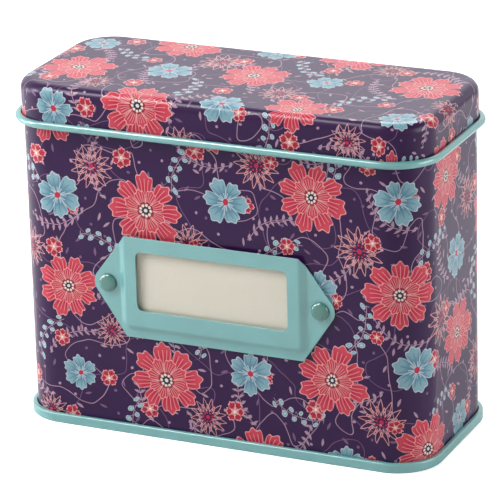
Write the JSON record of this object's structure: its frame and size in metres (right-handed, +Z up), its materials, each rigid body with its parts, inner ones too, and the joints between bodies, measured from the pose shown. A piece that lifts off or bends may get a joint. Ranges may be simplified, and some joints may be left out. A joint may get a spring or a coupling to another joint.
{
  "type": "prayer card tin",
  "caption": "Upright rectangular tinplate card box with rounded corners, slip-over lid, riveted label holder and a row of filed cards.",
  "frame": {"origin": "centre of the face the tin stands on", "axes": "+Z up, +X along the width to the right as seen from the front, the front with the label holder faces -Y"},
  "size_m": [0.1382, 0.0622, 0.1085],
  "materials": {
    "printed_tin": "satin varnish over a printed floral on purple",
    "teal_enamel": "satin",
    "rivet_enamel": "gloss",
    "label_paper": "matte",
    "card_stock": "matte",
    "divider_stock": "matte"
  },
  "bodies": {
    "tin": {"body_shell": "printed_tin", "base_plate": "teal_enamel", "label_holder": "teal_enamel", "rivet_left": "rivet_enamel", "rivet_right": "rivet_enamel"},
    "lid": {"lid_shell": "printed_tin"},
    "label": {"label_card": "label_paper"},
    "cards": {"card_01": "card_stock", "card_02": "card_stock", "card_03": "card_stock", "card_04": "card_stock", "card_05": "card_stock", "card_06": "card_stock", "card_07": "card_stock", "card_08": "card_stock", "card_09": "card_stock", "card_10": "card_stock", "card_11": "card_stock", "card_12": "card_stock", "card_13": "card_stock", "card_14": "card_stock", "card_15": "card_stock", "card_16": "card_stock"},
    "dividers": {"divider_1": "divider_stock", "divider_2": "divider_stock", "divider_3": "divider_stock", "divider_4": "divider_stock"}
  },
  "joints": [
    {"name": "lid_lift", "type": "slide", "parent": "tin", "child": "lid", "axis": [0, 0, 1], "range_m": [0, 0.045]},
    {"name": "label_slide", "type": "slide", "parent": "tin", "child": "label", "axis": [0, 0, 1], "range_m": [0, 0.0297]},
    {"name": "cards_lift", "type": "slide", "parent": "tin", "child": "cards", "axis": [0, 0, 1], "range_m": [0, 0.028]},
    {"name": "dividers_lift", "type": "slide", "parent": "tin", "child": "dividers", "axis": [0, 0, 1], "range_m": [0, 0.014]}
  ]
}
